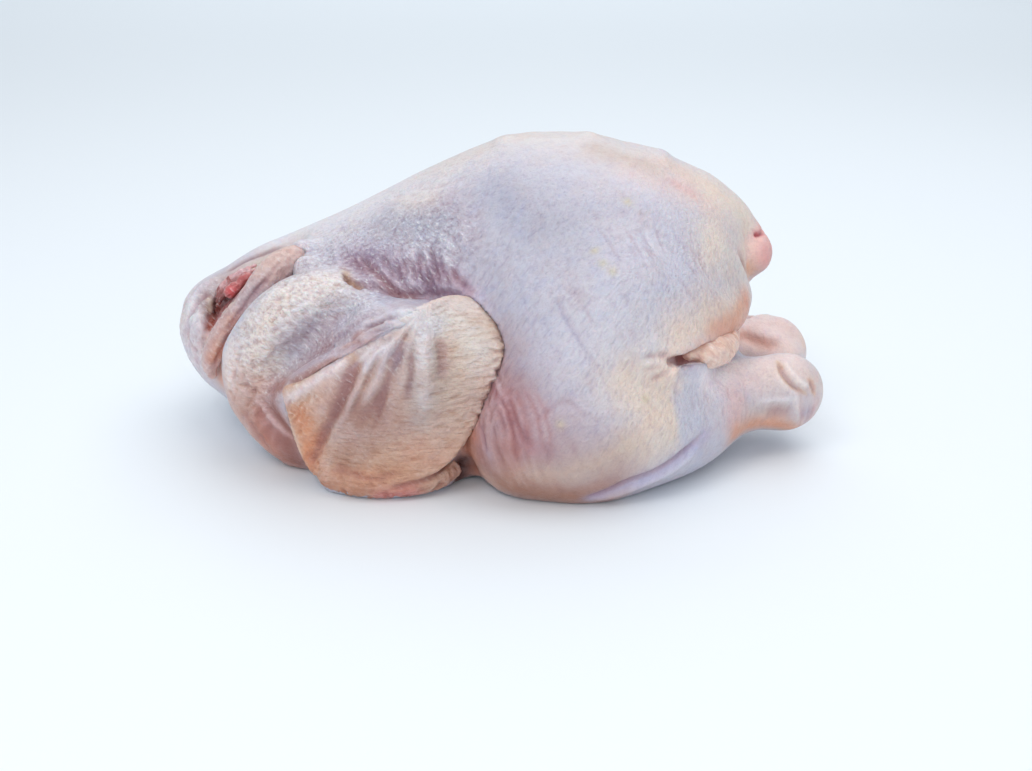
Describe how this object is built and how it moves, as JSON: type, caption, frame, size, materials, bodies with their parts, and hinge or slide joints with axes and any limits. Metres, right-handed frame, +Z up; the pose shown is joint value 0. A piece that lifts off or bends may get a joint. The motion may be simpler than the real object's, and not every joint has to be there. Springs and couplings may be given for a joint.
{
  "type": "whole raw chicken",
  "caption": "Whole plucked raw chicken lying breast down, wings folded at its sides, drumsticks drawn back under the tail, loose skin over the cut neck.",
  "frame": {"origin": "middle of the bounding box's underside, on the surface that the bird lies on", "axes": "+X from the neck towards the tail, +Y towards the bird's right side, +Z up, with the back uppermost"},
  "size_m": [0.2736, 0.1891, 0.1227],
  "materials": {
    "skin": "moist raw skin, thin and slightly see-through"
  },
  "bodies": {
    "root": {"chicken": "skin"}
  },
  "joints": []
}
